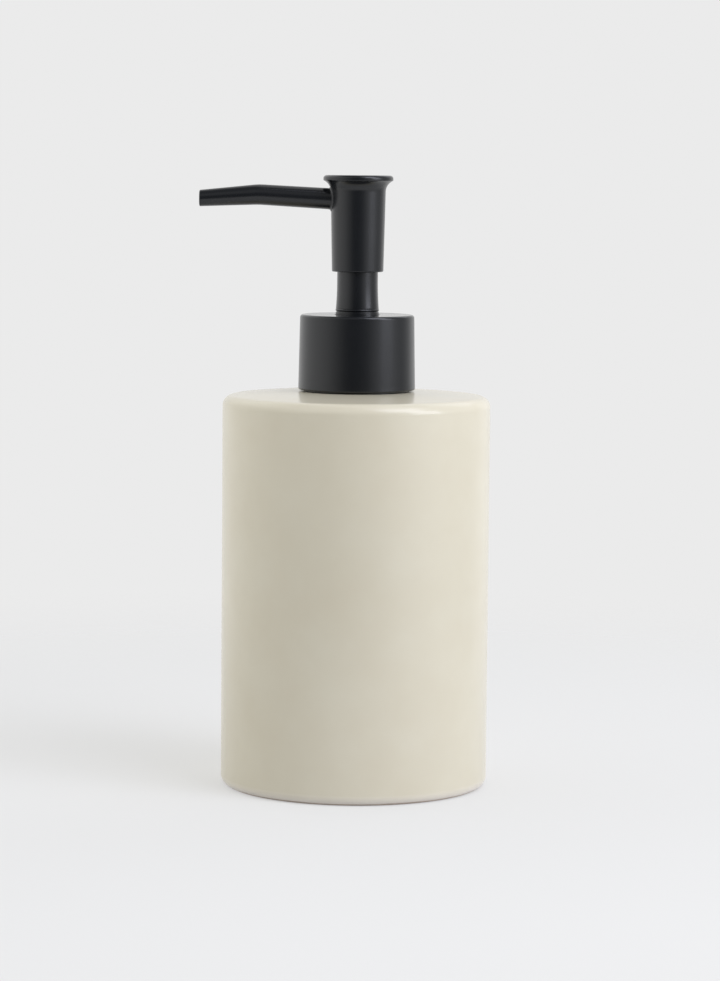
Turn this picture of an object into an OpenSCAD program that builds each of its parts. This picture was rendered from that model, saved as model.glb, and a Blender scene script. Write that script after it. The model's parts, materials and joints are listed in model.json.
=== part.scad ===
// Soap pump dispenser: a straight glazed bottle with a push-in threaded neck,
// and a lotion pump that screws onto it. Millimetres, +Z up, the foot stands on z = 0,
// and the bottle's axis is the Z axis. The spout points along -X.

/* [Bottle] */
// Outer diameter of the bottle
body_d = 75; // [68:1:84]
// Height of the bottle at its mouth
body_h = 111; // [100:1:130]
// Thickness of the side wall
wall_t = 4.5; // [3.5:0.5:6]
// Height of the inner floor above the table
floor_z = 6; // [5:0.5:9]
// Thickness of the top round the mouth
shoulder_t = 5.5; // [4.5:0.5:7]
// How far the top rises from its rim to its mouth
crown_h = 1.2; // [0.6:0.1:2]
// Radius of the outer top edge
rim_r = 3; // [2:0.5:4]
// Radius of the outer bottom edge
foot_r = 2.5; // [1.5:0.5:3.5]
// Width of the flat ring that the bottle stands on
foot_w = 5; // [3:0.5:8]
// Depth of the hollow under the floor
foot_recess = 1.2; // [0.6:0.2:2]

/* [Neck insert] */
// Diameter of the neck without its thread
neck_d = 24.9; // [24:0.1:25.6]
// How far the thread stands out of the neck
thread_h = 1.25; // [0.8:0.05:1.4]
// Bore of the neck
neck_bore_d = 20.4; // [19:0.1:21]
// Height of the neck above its flange
neck_rise = 15.4; // [13:0.2:20]
// Thickness of the flange that rests on the bottle
flange_t = 1.2; // [0.8:0.1:1.5]
// Diameter of the spigot that enters the mouth
spigot_d = 24; // [23:0.1:25]
// Length of the spigot
spigot_len = 9; // [8:0.5:12]
// Thickness of the rubber sleeve round the spigot, fins included
seal_t = 1.15; // [0.9:0.05:1.5]

/* [Collar] */
// Gap between the bottle's top and the collar
collar_gap = 0.4; // [0.3:0.1:0.8]
// Wall of the collar at its lower edge
collar_t = 1.26; // [1:0.02:1.6]
// How far the collar's side leans in up to its top edge
collar_taper = 0.41; // [0.2:0.01:0.6]
// Thickness of the collar's top
collar_top_t = 1.3; // [0.7:0.1:1.5]
// Thickness of the threaded cap's skirt
cap_skirt_t = 1.1; // [0.8:0.05:1.3]
// Thickness of the threaded cap's top
cap_top_t = 1.3; // [1.2:0.1:2]
// Thickness of the gasket on the neck
gasket_t = 0.9; // [0.6:0.1:1.5]

/* [Pump chamber] */
// Inner diameter of the chamber
chamber_d = 12; // [11:0.5:13]
// Wall of the pump housing
housing_t = 1; // [0.8:0.1:1.2]
// Thickness of the housing's flange
deck_t = 1.3; // [1:0.1:2]
// How far the guide's plug reaches into the housing
plug_len = 10.8; // [9:0.2:13]
// Length of the nozzle that grips the dip tube
nozzle_len = 13.5; // [10:0.5:18]
// Diameter of the inlet valve's ball
ball_d = 4; // [3.6:0.1:4.4]
// How far the ball lifts off its seat
ball_lift = 1.2; // [0.8:0.1:1.6]
// Outer diameter of the dip tube
tube_d = 6; // [5:0.2:6.4]
// Wall of the dip tube
tube_t = 0.9; // [0.6:0.1:1.2]
// Clearance between the dip tube's end and the floor
tube_gap = 3; // [2:0.5:6]

/* [Plunger] */
// How far the head travels when it is pressed
stroke = 11.5; // [8:0.5:13]
// Diameter of the stem above its shoulder
stem_d = 5.8; // [5.4:0.1:6]
// Bore of the stem
stem_bore_d = 3.8; // [3.4:0.1:4]
// How far the piston slides on the stem to open the outlet
piston_float = 0.8; // [0.6:0.1:1]
// Height of the piston
piston_h = 8.4; // [7:0.2:10]
// Wire diameter of the spring
wire_d = 0.8; // [0.6:0.05:0.9]
// Mean diameter of the spring
coil_d = 6.8; // [6.6:0.1:7.4]
// Turns of the spring, with one closed turn at each end
coil_turns = 8; // [6:1:9]

/* [Guide] */
// Diameter of the guide tube at its top
guide_top_d = 11.4; // [11.2:0.02:11.6]
// How far the tube's side spreads down to its foot
guide_flare = 0.29; // [0.1:0.01:0.5]
// How far the bead round the tube's foot stands out
guide_bead = 0.1; // [0.06:0.02:0.2]
// How far the guide tube reaches into the head at rest
guide_overlap = 2.3; // [1.5:0.1:3]

/* [Head] */
// Height of the head
head_h = 26.8; // [25:0.1:30]
// Wall of the head's sleeve at its lower edge
sleeve_t = 0.8; // [0.6:0.02:1.2]
// How far the sleeve's side spreads up to the flared top
sleeve_spread = 0.47; // [0.1:0.01:0.6]
// Diameter of the flared top
top_d = 19.5; // [18.5:0.1:22]
// Thickness of the flared top at its edge, down to its lower rounding
top_t = 1.3; // [1.1:0.1:1.8]
// Radius of the flare between the sleeve and the top
flare_r = 3.4; // [2.6:0.1:4.2]
// Reach of the spout from the axis
spout_reach = 44.1; // [38:0.1:52]
// Distance of the spout's bend from the axis
bend_reach = 27.8; // [22:0.2:32]
// Spout diameter at the head's axis
spout_root_d = 6; // [5.4:0.02:6.2]
// Spout diameter at its bend
spout_bend_d = 5.7; // [5:0.05:6]
// Spout diameter at its tip
spout_tip_d = 4.56; // [4:0.02:5]
// Depth of the spout's middle below the top, at the head's axis
spout_drop = 7; // [6.7:0.05:7.4]
// How far the spout rises from the head's axis to its bend
spout_rise = 1.45; // [0.8:0.01:2]
// How far the spout falls from its bend to its tip
spout_fall = 1.15; // [0.4:0.05:1.6]
// Bore of the spout
spout_bore_d = 2.4; // [2:0.1:2.6]

/* [Hidden] */
$fn = 64;

// Clearances
slip = 0.05;          // running fit, each side
press = 0.02;         // pressed or glued fit, each side
loose = 0.3;          // parts that pass each other without touching
eps = 0.01;           // a cutting tool or a joined piece runs this far past a face
past = 1;             // and this far where it comes out in the open

// Bottle
body_r = body_d / 2;
inner_r = body_r - wall_t;
inner_corner = 4;                       // inner corners of the bottle
rim_z = body_h - crown_h;               // height of the top's rim
crown_run = body_r - rim_r;             // radius where the rim's rounding starts
mouth_r = spigot_d / 2 + seal_t + slip;
mouth_edge = 0.6;                       // chamfer of the mouth
mouth_land = 2;                         // thick ring round the mouth, inside

// Neck insert and its seal
flange_top = body_h + flange_t;
neck_r = neck_d / 2;
neck_bore_r = neck_bore_d / 2;
neck_top = flange_top + neck_rise;
neck_edge = 0.4;                        // chamfer of the neck's lip
spigot_r = spigot_d / 2;
spigot_low = body_h - spigot_len;
lip_h = 1;                              // lip that keeps the seal on the spigot
lip_out = 0.5;
seal_low = spigot_low + lip_h + slip;
fin_out = 0.4;                          // how far the seal's fins stand out
fin_count = 3;
fin_h = 1.1;
fin_slope = 0.65;                       // share of a fin's height that slopes
fin_root = 0.2;                         // how deep a fin starts in the sleeve

// Collar, threaded cap and gasket
gasket_top = neck_top + gasket_t;
deck_z = gasket_top + deck_t;           // top of the housing's flange
cap_top = deck_z + cap_top_t;
collar_top = cap_top + collar_top_t;
collar_low = body_h + collar_gap;
collar_edge_low = 0.55;                 // rounding of the lower edge
collar_edge_top = 0.8;                  // rounding of the top edge
thread_gap = 0.25;
cap_bore_r = neck_r + thread_h + thread_gap;
cap_r = cap_bore_r + cap_skirt_t;
collar_bore_r = cap_r + slip;
collar_low_r = collar_bore_r + collar_t;
collar_top_r = collar_low_r - collar_taper;
flange_r = collar_bore_r - loose;
land_r = flange_r + 1;                  // flat round the mouth
cap_low = flange_top + loose;
cap_flutes = 24;                        // grooves that lock the cap in the collar
flute_r = 0.35;
flute_stop = 2;                         // they end this far below the cap's top
deck_r = cap_bore_r - 1.5;              // housing's flange and gasket
gasket_gap = 0.15;

// Housing
chamber_r = chamber_d / 2;
chamber_out = chamber_r + housing_t;
cup_step = 1.3;                         // the cup's bore is this much wider
cup_bore_r = chamber_r + cup_step;
cup_out = cup_bore_r + housing_t + 0.1;
plug_gap = 1;                           // between the plug's end and the cup's floor
cup_low = deck_z - plug_len - plug_gap;
cup_seat = 0.7;                         // height of the cone at the cup's floor
vent_d = 0.9;
vent_drop = 4.4;                        // vent hole below the flange
cage_t = 1.3;
cage_r = coil_d / 2 + wire_d / 2 + 0.6;
ball_r = ball_d / 2;
ball_bore_r = ball_r + 0.9;
inlet_r = ball_r * 0.65;
nozzle_bore_r = tube_d / 2 + press;
nozzle_out = nozzle_bore_r + 1.25;
nozzle_lead = 0.2;                      // the nozzle's side leans in this much
neck_in = 2;                            // height of the slopes between the steps
gusset_t = 1;
gusset_h = 9;
gusset_root = 0.8;                      // how deep a gusset starts in the nozzle

// Plunger, from the piston's rest position
piston_room = 1.2;                      // above the lifted piston
piston_top = cup_low - piston_float - piston_room;
piston_low = piston_top - piston_h;
seat_top = piston_low - slip;
seat_t = 1.5;
seat_r = 4.6;
spring_top = seat_top - seat_t;
spring_spare = 2.1;                     // gap left in the pressed spring
spring_len = stroke + wire_d * coil_turns + spring_spare;
chamber_low = spring_top - spring_len;
core_pin_gap = 0.4;                     // between the pin and the spring
core_pin_r = (coil_d - wire_d) / 2 - core_pin_gap;
core_pin_len = 5;
core_pin_taper = 0.4;
seat_edge = 0.5;
spigot_core_r = stem_bore_d / 2 - slip;
spigot_core_len = 7;
spigot_web_t = 1.2;
stem_r = stem_d / 2;
stem_step = 0.5;                        // the stem is stouter below its shoulder
stem_low_r = stem_r + stem_step;
stem_shoulder_r = stem_r + 1.5;
stem_shoulder_t = 1.2;
shoulder_slope = 0.8;
shoulder_gap = 0.2;                     // between the shoulder and the guide's roof
stem_edge = 0.4;
notch_w = 1.6;
notch_h = 1.5;
piston_bore_r = stem_low_r + slip;
piston_tube_t = 0.65;
piston_lip_t = 0.55;
piston_web_t = 1;

// Inlet valve, below the chamber
cage_low = chamber_low - cage_t;
ball_room = 0.25;                       // above the lifted ball
ball_z = cage_low - ball_lift - ball_room - ball_r;
seat_touch = ball_r * sqrt(2);          // a 45 degree seat touches the ball's flank
seat_gap = 0.03;
inlet_top = ball_z - seat_touch + inlet_r - seat_gap;
inlet_land = 2;                         // height of the inlet's bore
nozzle_top = inlet_top - inlet_land;
nozzle_low = nozzle_top - nozzle_len;
tube_low = floor_z + tube_gap;

// Guide
roof_t = 1.3;                           // roof below the flange
roof_low = deck_z - roof_t;
guide_bore_r = stem_r + slip + 0.03;
guide_top_r = guide_top_d / 2;
guide_low_r = guide_top_r + guide_flare;
bead_r = guide_low_r + guide_bead;
bead_low = collar_top + 0.95;           // bead above a narrow groove
bead_h = 0.7;
groove_w = 0.2;
groove_depth = 0.2;
guide_low_z = bead_low + bead_h;
guide_bend = 7.3;                       // height over which the tube's side spreads
guide_edge = 0.4;
guide_flange_t = 1;
guide_flange_r = bead_r + 3;
guide_step = 3.5;                       // the wide bore starts this far above the flange
plug_r = cup_bore_r - press;
plug_t = 1.05;
plug_bore_r = plug_r - plug_t;
plug_edge = 0.4;
plug_slots = 4;
plug_slot_w = 1.2;
plug_slot_depth = 0.35;

// Head
press_gap = 0.45;                       // left above the collar when pressed
head_low = collar_top + stroke + press_gap;
head_top = head_low + head_h;
guide_top = head_low + guide_overlap;
socket_bore_r = stem_r + press;
socket_r = socket_bore_r + 1.15;
guide_tube_bore_r = socket_r + loose + 0.05;
guide_tube_floor = deck_z + guide_flange_t + guide_step;
sleeve_bore_r = bead_r + loose;
sleeve_low_r = sleeve_bore_r + sleeve_t;
sleeve_top_r = sleeve_low_r + sleeve_spread;
sleeve_edge = 0.35;
top_edge = 0.9;                         // rounding of the flared top, above
top_edge_low = 0.25;                    // and below
lip_low = head_top - top_t;             // where the top's edge starts
flare_turn = acos(1 - (top_d / 2 - sleeve_top_r) / (flare_r + top_edge_low));
flare_z = lip_low - (flare_r + top_edge_low) * sin(flare_turn);
lid_t = 1.75;
ceiling_z = head_top - lid_t;
stem_drop = spout_drop + 1.55;          // depth of the stem's end below the top
stem_top = head_top - stem_drop;
socket_len = 14;
socket_low = stem_top - socket_len;
well_r = stem_bore_d / 2;
spout_root_z = head_top - spout_drop;
spout_bend_z = spout_root_z + spout_rise;
spout_tip_z = spout_bend_z - spout_fall;
bore_in_z = spout_root_z + 1.2;         // where the spout's bore meets the well
well_top = bore_in_z + spout_bore_d / 2 + 0.2;
rib_count = 4;
rib_t = 0.9;
rib_root = 0.3;                         // how deep a rib starts in the walls beside it
rib_run = sleeve_bore_r - socket_r;
rib_low = guide_top + stroke + press_gap;

assert(nozzle_low > tube_low + 10, "the bottle is too low for this pump");

// Points of a circular arc round [x, y], from angle a0 to a1
function arc(x, y, r, a0, a1, steps = 8) = [
    for (i = [0 : steps])
        let (a = a0 + (a1 - a0) * i / steps)
            [x + r * cos(a), y + r * sin(a)]
];

// Height of the bottle's gently domed top at radius r, and its slope at the rim
crown_span = pow(crown_run, 2) - pow(land_r, 2);
function crown_z(r) = body_h - crown_h * (pow(r, 2) - pow(land_r, 2)) / crown_span;
crown_tilt = atan(2 * crown_h * crown_run / crown_span);

// A tube with square ends
module ring(r_out, r_in, z0, z1) {
    translate([0, 0, z0])
        difference() {
            cylinder(r = r_out, h = z1 - z0);
            translate([0, 0, -eps])
                cylinder(r = r_in, h = z1 - z0 + 2 * eps);
        }
}

// Copies round the Z axis
module around(count, turn = 0) {
    for (i = [0 : count - 1])
        rotate([0, 0, turn + i * 360 / count])
            children();
}

// A cone between two points of the XZ plane, from radius ra to rb
module link(a, b, ra, rb) {
    run = b - a;
    translate([a[0], 0, a[1]])
        rotate([0, 90 - atan2(run[1], run[0]), 0])
            cylinder(r1 = ra, r2 = rb, h = norm(run));
}

// Slip-cast and glazed bottle, standing on an unglazed ring
module bottle() {
    crown_steps = 8;
    crown = [
        for (i = [crown_steps - 1 : -1 : 0])
            let (r = land_r + (crown_run - land_r) * i / crown_steps)
                [r, crown_z(r)]
    ];
    ring_out = body_r - foot_r;
    ring_in = ring_out - foot_w;
    outside = concat(
        [[0, foot_recess], [ring_in - foot_recess, foot_recess], [ring_in, 0]],
        arc(ring_out, foot_r, foot_r, -90, 0),
        arc(crown_run, rim_z - rim_r, rim_r, 0, 90 - crown_tilt),
        crown,
        [[0, body_h]]
    );
    inside_top = body_h - shoulder_t;
    inside_rim = rim_z - shoulder_t;
    inside = concat(
        [[0, floor_z]],
        arc(inner_r - inner_corner, floor_z + inner_corner, inner_corner, -90, 0),
        arc(inner_r - inner_corner, inside_rim - inner_corner, inner_corner, 0, 90),
        [[mouth_r + mouth_land, inside_top], [0, inside_top]]
    );
    color([0.85, 0.82, 0.74])
        difference() {
            rotate_extrude() polygon(outside);
            rotate_extrude() polygon(inside);
            translate([0, 0, inside_top - past])
                cylinder(r = mouth_r, h = shoulder_t + 2 * past);
            translate([0, 0, body_h - mouth_edge])
                cylinder(r1 = mouth_r, r2 = mouth_r + mouth_edge + eps, h = mouth_edge + eps);
        }
}

// Moulded neck: flange on the bottle, spigot below it, plain neck above it
module neck_insert() {
    profile = [
        [neck_bore_r, spigot_low], [spigot_r, spigot_low],
        [spigot_r + lip_out, spigot_low + lip_h / 2], [spigot_r + lip_out, spigot_low + lip_h],
        [spigot_r, spigot_low + lip_h], [spigot_r, body_h],
        [flange_r, body_h], [flange_r, flange_top],
        [neck_r, flange_top], [neck_r, neck_top - neck_edge],
        [neck_r - neck_edge, neck_top], [neck_bore_r, neck_top]
    ];
    color([0.09, 0.09, 0.09])
        rotate_extrude() polygon(profile);
}

// Rubber sleeve with fins that grips the mouth
module insert_seal() {
    sleeve_r = spigot_r + seal_t - fin_out;
    seal_high = body_h - press;
    pitch = (seal_high - seal_low - fin_h) / (fin_count - 1);
    color([0.25, 0.25, 0.26])
        union() {
            ring(sleeve_r, spigot_r + press, seal_low, seal_high);
            for (i = [0 : fin_count - 1])
                translate([0, 0, seal_low + i * pitch])
                    rotate_extrude()
                        polygon([
                            [sleeve_r - fin_root, 0], [sleeve_r, 0],
                            [spigot_r + seal_t, fin_h * fin_slope],
                            [spigot_r + seal_t, fin_h], [sleeve_r - fin_root, fin_h]
                        ]);
        }
}

// Flat gasket between the neck and the housing's flange
module neck_gasket() {
    color([0.93, 0.92, 0.88])
        ring(deck_r, cup_out + gasket_gap, neck_top, gasket_top);
}

// Smooth outer shell of the collar, slightly wider at its lower edge
module collar() {
    hole_r = bead_r + loose;
    low = [collar_low_r - collar_edge_low, collar_low + collar_edge_low];
    top = [collar_top_r - collar_edge_top, collar_top - collar_edge_top];
    profile = concat(
        [[collar_bore_r, cap_top], [collar_bore_r, collar_low]],
        arc(low[0], low[1], collar_edge_low, -90, 0),
        arc(top[0], top[1], collar_edge_top, 0, 90),
        [[hole_r, collar_top], [hole_r, cap_top]]
    );
    color([0.13, 0.13, 0.13])
        rotate_extrude() polygon(profile);
}

// Threaded cap inside the shell; its top holds the housing's flange down
module threaded_cap() {
    hole_r = guide_flange_r + loose;
    color([0.16, 0.16, 0.16])
        difference() {
            union() {
                ring(cap_r, cap_bore_r, cap_low, cap_top);
                ring(cap_r - slip, hole_r, deck_z, cap_top);
            }
            around(cap_flutes)
                translate([cap_r + flute_r / 3, 0, cap_low - eps])
                    cylinder(r = flute_r, h = cap_top - cap_low - flute_stop);
        }
}

// Pump housing: flange, cup, chamber, inlet seat and nozzle in one moulding
module housing() {
    outside = [
        [0, nozzle_low], [nozzle_out - nozzle_lead, nozzle_low], [nozzle_out, inlet_top],
        [chamber_out, chamber_low - neck_in], [chamber_out, cup_low - neck_in],
        [cup_out, cup_low], [cup_out, gasket_top], [deck_r, gasket_top],
        [deck_r, deck_z], [0, deck_z]
    ];
    bores = [
        [0, nozzle_low - past], [nozzle_bore_r, nozzle_low - past],
        [nozzle_bore_r, nozzle_top],
        [inlet_r, nozzle_top], [inlet_r, inlet_top],
        [ball_bore_r, inlet_top + ball_bore_r - inlet_r], [ball_bore_r, cage_low],
        [cage_r + press, cage_low], [cage_r + press, chamber_low],
        [chamber_r, chamber_low], [chamber_r, cup_low],
        [cup_bore_r, cup_low + cup_seat],
        [cup_bore_r, deck_z + past], [0, deck_z + past]
    ];
    gusset = [
        [nozzle_out - gusset_root, inlet_top - gusset_h], [nozzle_out, inlet_top - gusset_h],
        [chamber_out - nozzle_lead, chamber_low - neck_in],
        [nozzle_out - gusset_root, chamber_low - neck_in]
    ];
    color([0.90, 0.90, 0.88])
        difference() {
            union() {
                rotate_extrude() polygon(outside);
                around(4, 45)
                    rotate([90, 0, 0])
                        translate([0, 0, -gusset_t / 2])
                            linear_extrude(gusset_t) polygon(gusset);
            }
            rotate_extrude() polygon(bores);
            translate([0, 0, gasket_top - vent_drop])
                rotate([0, 90, 0])
                    cylinder(d = vent_d, h = cup_out + past);
        }
}

// Guide: plug in the housing, flange on it, and the tube that the head slides round
module guide() {
    plug_low = deck_z - plug_len;
    foot_r = bead_r - slip;
    groove_low = bead_low - groove_w;
    groove_r = foot_r - groove_depth;
    bead_end = acos(1 - 2 * guide_bead / bead_h);
    flank_steps = 6;
    flank = [
        for (i = [0 : flank_steps])
            let (t = i / flank_steps)
                [guide_top_r + guide_flare * pow(1 - t, 2), guide_low_z + guide_bend * t]
    ];
    outside = concat(
        [[0, plug_low], [plug_r - plug_edge, plug_low], [plug_r, plug_low + plug_edge]],
        [[plug_r, deck_z], [guide_flange_r, deck_z]],
        [[guide_flange_r, deck_z + guide_flange_t], [foot_r, deck_z + guide_flange_t]],
        [[foot_r, groove_low], [groove_r, groove_low], [groove_r, bead_low]],
        arc(bead_r - bead_h / 2, bead_low + bead_h / 2, bead_h / 2, -90, bead_end),
        flank,
        [[guide_top_r, guide_top - guide_edge], [guide_top_r - guide_edge, guide_top]],
        [[0, guide_top]]
    );
    bores = [
        [0, plug_low - past], [plug_bore_r, plug_low - past],
        [plug_bore_r, roof_low], [guide_bore_r, roof_low],
        [guide_bore_r, guide_tube_floor], [guide_tube_bore_r, guide_tube_floor + 0.8],
        [guide_tube_bore_r, guide_top + past], [0, guide_top + past]
    ];
    color([0.12, 0.12, 0.12])
        difference() {
            rotate_extrude() polygon(outside);
            rotate_extrude() polygon(bores);
            around(plug_slots)
                translate([plug_r - plug_slot_depth, -plug_slot_w / 2, plug_low - eps])
                    cube([past, plug_slot_w, plug_len - past]);
        }
}

// Cage that keeps the ball in and carries the spring
module ball_cage() {
    bar_w = 0.9;
    bar_h = cage_t * 0.7;
    bar_r = ball_bore_r - loose;
    bar_root = 0.2;
    color([0.86, 0.86, 0.84])
        union() {
            ring(cage_r, bar_r, cage_low, chamber_low);
            around(2)
                translate([-bar_r - bar_root, -bar_w / 2, cage_low])
                    cube([2 * (bar_r + bar_root), bar_w, bar_h]);
        }
}

// Ball of the inlet valve
module inlet_ball() {
    color([0.75, 0.78, 0.80])
        translate([0, 0, ball_z])
            sphere(r = ball_r);
}

// Dip tube, cut at a slant near the floor
module dip_tube() {
    cut = 2 * tube_d;
    slant = 30;
    color([0.92, 0.93, 0.93])
        difference() {
            ring(tube_d / 2, tube_d / 2 - tube_t, tube_low, nozzle_top - press);
            translate([tube_d / 2, 0, tube_low])
                rotate([0, -slant, 0])
                    translate([-cut, -cut / 2, -cut])
                        cube([2 * cut, cut, cut]);
        }
}

// Height along the spring's wire after u turns, with a closed turn at each end
function coil_z(u) =
    let (
        closed = wire_d + slip,
        rise = spring_len - wire_d - 2 * slip,
        pitch = (rise - 2 * closed) / (coil_turns - 2)
    )
    u < 1 ? closed * u
    : u > coil_turns - 1 ? rise - closed * (coil_turns - u)
    : closed + pitch * (u - 1);

// Return spring: a round wire swept along its helix
module spring() {
    sides = 8;
    steps = 18 * coil_turns;
    low = chamber_low + wire_d / 2 + slip;
    function wire(i, j) =
        let (
            u = coil_turns * i / steps,
            a = 360 * u,
            b = 360 * j / sides,
            r = coil_d / 2 + wire_d / 2 * cos(b)
        )
        [r * cos(a), r * sin(a), low + coil_z(u) + wire_d / 2 * sin(b)];
    points = [for (i = [0 : steps]) for (j = [0 : sides - 1]) wire(i, j)];
    walls = [
        for (i = [0 : steps - 1]) for (j = [0 : sides - 1])
            let (a = i * sides + j, b = i * sides + (j + 1) % sides)
                each [[a, b, b + sides], [a, b + sides, a + sides]]
    ];
    start = [for (j = [sides - 1 : -1 : 0]) j];
    end = [for (j = [0 : sides - 1]) steps * sides + j];
    color([0.72, 0.73, 0.75])
        polyhedron(points, concat(walls, [start, end]));
}

// Plunger core: spring pin below, outlet seat, and a cross that enters the stem
module plunger_core() {
    color([0.88, 0.88, 0.86])
        union() {
            translate([0, 0, spring_top - core_pin_len])
                cylinder(r1 = core_pin_r - core_pin_taper, r2 = core_pin_r, h = core_pin_len);
            rotate_extrude()
                polygon([
                    [0, spring_top], [seat_r, spring_top], [seat_r, seat_top - seat_edge],
                    [seat_r - seat_edge, seat_top], [0, seat_top]
                ]);
            intersection() {
                translate([0, 0, seat_top])
                    cylinder(r = spigot_core_r, h = spigot_core_len);
                around(2)
                    translate([-spigot_core_r, -spigot_web_t / 2, seat_top - seat_t / 2])
                        cube([2 * spigot_core_r, spigot_web_t, seat_t + spigot_core_len]);
            }
        }
}

// Floating piston: a tube on the stem and two lips against the chamber
module piston() {
    lip_r = chamber_r - slip;
    lip_h = 0.5;                        // height of the band that touches the chamber
    lip_relief = 0.2;                   // the wall between the lips stands back
    lip_edge = 0.35;
    back_r = lip_r - lip_relief;
    inner_r = back_r - piston_lip_t;
    tube_r = piston_bore_r + piston_tube_t;
    tube_edge = 0.3;
    mid = (piston_low + piston_top) / 2;
    low = piston_low + lip_relief;
    high = piston_top - 4 * lip_relief;
    web = piston_web_t / 2;
    profile = [
        [piston_bore_r, piston_low], [tube_r - tube_edge, piston_low],
        [tube_r, piston_low + tube_edge], [tube_r, mid - web],
        [inner_r, mid - web], [lip_r - lip_edge, low], [lip_r, low], [lip_r, low + lip_h],
        [back_r, mid - web], [back_r, mid + web],
        [lip_r, high - lip_h], [lip_r, high], [lip_r - lip_edge, high], [inner_r, mid + web],
        [tube_r, mid + web], [tube_r, piston_top], [piston_bore_r, piston_top]
    ];
    color([0.94, 0.94, 0.92])
        rotate_extrude() polygon(profile);
}

// Hollow stem: thin above its shoulder, stout below, with outlet notches at its foot
module stem() {
    shoulder_top = roof_low - shoulder_gap;
    shoulder_low = shoulder_top - stem_shoulder_t;
    foot = seat_top + slip;
    bore_r = stem_bore_d / 2;
    profile = [
        [bore_r, foot], [stem_low_r, foot], [stem_low_r, shoulder_low - shoulder_slope],
        [stem_shoulder_r, shoulder_low], [stem_shoulder_r, shoulder_top],
        [stem_r, shoulder_top], [stem_r, stem_top - stem_edge],
        [stem_r - stem_edge, stem_top],
        [bore_r, stem_top]
    ];
    color([0.90, 0.90, 0.88])
        difference() {
            rotate_extrude() polygon(profile);
            around(2, 45)
                translate([-stem_low_r - past, -notch_w / 2, foot - eps])
                    cube([2 * (stem_low_r + past), notch_w, notch_h + eps]);
        }
}

// Pressed head: tapered sleeve, flared top, and a slim spout with a slight bend
module pump_head() {
    edge_r = top_d / 2;
    skin = concat(
        [[0, head_low]],
        arc(sleeve_low_r - sleeve_edge, head_low + sleeve_edge, sleeve_edge, -90, 0),
        arc(sleeve_top_r + flare_r, flare_z, flare_r, 180, 180 - flare_turn, 10),
        arc(edge_r - top_edge_low, lip_low, top_edge_low, -flare_turn / 2, 0, 2),
        arc(edge_r - top_edge, head_top - top_edge, top_edge, 0, 90),
        [[0, head_top]]
    );
    root = [0, spout_root_z];
    bend = [-bend_reach, spout_bend_z];
    tip = [-spout_reach, spout_tip_z];
    root_r = spout_root_d / 2;
    bend_r = spout_bend_d / 2;
    tip_r = spout_tip_d / 2;
    well = [0, bore_in_z];
    aim = (well - tip) / norm(well - tip);
    color([0.11, 0.11, 0.11])
        difference() {
            union() {
                difference() {
                    rotate_extrude() polygon(skin);
                    translate([0, 0, head_low - past])
                        cylinder(r = sleeve_bore_r, h = ceiling_z - head_low + past);
                }
                translate([0, 0, socket_low])
                    cylinder(r = socket_r, h = ceiling_z - socket_low + eps);
                around(rib_count, 45)
                    translate([socket_r - rib_root, -rib_t / 2, rib_low])
                        cube([rib_run + 2 * rib_root, rib_t, ceiling_z - rib_low + eps]);
                link(root, bend, root_r, bend_r);
                translate([bend[0], 0, bend[1]])
                    sphere(r = bend_r + eps);
                link(bend, tip, bend_r, tip_r);
            }
            translate([0, 0, socket_low - eps])
                cylinder(r = socket_bore_r, h = stem_top - socket_low + press);
            translate([0, 0, stem_top - eps])
                cylinder(r = well_r, h = well_top - stem_top);
            link(tip - aim, well, spout_bore_d / 2, spout_bore_d / 2);
        }
}

bottle();
neck_insert();
insert_seal();
neck_gasket();
collar();
threaded_cap();
housing();
guide();
ball_cage();
inlet_ball();
dip_tube();
spring();
plunger_core();
piston();
stem();
pump_head();
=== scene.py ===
# %% [markdown]
# # A soap pump dispenser, one surface at a time
# A straight stoneware bottle with a satin glaze carries a black lotion pump. The sizes,
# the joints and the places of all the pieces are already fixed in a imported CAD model.
# Here every piece gets the surface and the finish of the real one, and nothing moves.
# The model is loaded first, so that everything below can be measured from it.

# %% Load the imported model
import json
import math

import bmesh
import bpy
import numpy as np
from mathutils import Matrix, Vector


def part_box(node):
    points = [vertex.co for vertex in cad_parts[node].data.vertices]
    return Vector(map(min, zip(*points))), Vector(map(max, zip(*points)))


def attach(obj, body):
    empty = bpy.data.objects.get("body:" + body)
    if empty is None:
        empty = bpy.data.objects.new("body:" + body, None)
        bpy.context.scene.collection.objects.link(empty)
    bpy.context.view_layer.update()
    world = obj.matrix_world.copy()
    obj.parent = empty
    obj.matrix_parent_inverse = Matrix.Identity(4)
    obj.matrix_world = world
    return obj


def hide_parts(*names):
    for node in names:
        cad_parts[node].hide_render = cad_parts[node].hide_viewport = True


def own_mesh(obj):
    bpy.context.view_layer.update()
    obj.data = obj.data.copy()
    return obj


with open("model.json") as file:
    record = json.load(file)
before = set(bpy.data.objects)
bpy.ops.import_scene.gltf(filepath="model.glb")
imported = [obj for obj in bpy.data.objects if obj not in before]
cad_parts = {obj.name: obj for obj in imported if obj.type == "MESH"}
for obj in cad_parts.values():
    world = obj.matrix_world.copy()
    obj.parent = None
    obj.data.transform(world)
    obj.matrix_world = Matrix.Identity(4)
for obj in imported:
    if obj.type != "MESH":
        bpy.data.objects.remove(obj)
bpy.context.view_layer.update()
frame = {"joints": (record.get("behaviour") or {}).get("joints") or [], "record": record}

scene = bpy.context.scene
MM = 0.001

# %% [markdown]
# Each piece needs facts from the record: how big its node is and which body carries it. The
# record's material slots list the nodes, and each piece's finish is given where it is made.
# Lengths are kept in millimetres while a shape is worked out, because a designer reads them that
# way, and become metres only when a mesh is made.

# %% Sizes, bodies and slots of the nodes
record = frame["record"]
SLOT_OF = {part["node"]: part["material_slot"] for part in record["subparts"]}
BODY_OF = {
    node: body for body, nodes in record["behaviour"]["bodies"].items() for node in nodes
}


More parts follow.
